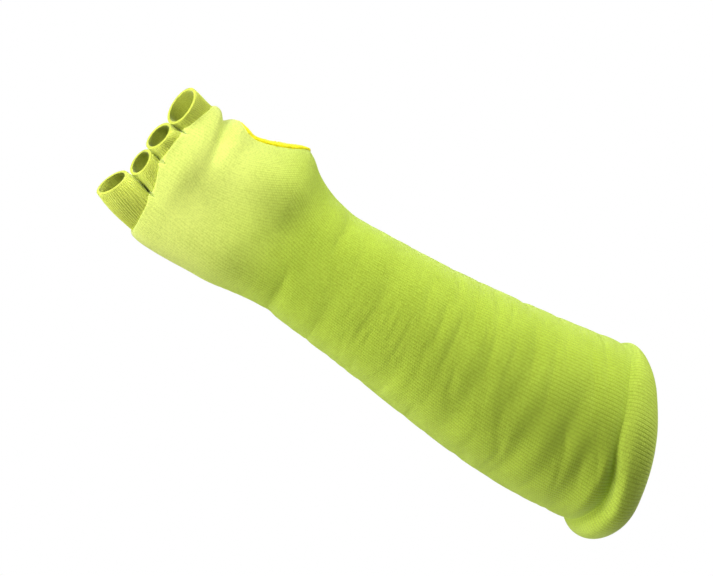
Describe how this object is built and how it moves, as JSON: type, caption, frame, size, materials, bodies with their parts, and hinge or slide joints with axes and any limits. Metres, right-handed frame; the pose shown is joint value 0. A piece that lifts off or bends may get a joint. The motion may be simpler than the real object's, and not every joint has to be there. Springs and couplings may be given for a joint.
{
  "type": "cut resistant sleeve",
  "caption": "Knitted cut resistant sleeve for the right arm, from the elbow to the knuckles, with ribbed finger cuffs, a bound thumb opening and a thick turned-in elbow hem.",
  "frame": {"origin": "middle of the sleeve's wrist, where it sits on the wearer", "axes": "+X up the sleeve to the elbow end, -Y out of the palm side, +Z to the thumb side"},
  "size_m": [0.3476, 0.0934, 0.1084],
  "materials": {
    "knit": "fine plain knit, matt, yellow-green",
    "hem_knit": "fine plain knit turned in double, matt, yellow-green",
    "rib_knit": "ribbed knit, matt, darker yellow-green",
    "binding_thread": "overlocked thread, slightly shiny, bright yellow"
  },
  "bodies": {
    "root": {"sleeve_body": "knit", "elbow_hem": "hem_knit", "index_cuff": "rib_knit", "middle_cuff": "rib_knit", "ring_cuff": "rib_knit", "little_cuff": "rib_knit", "thumb_binding": "binding_thread"}
  },
  "joints": []
}
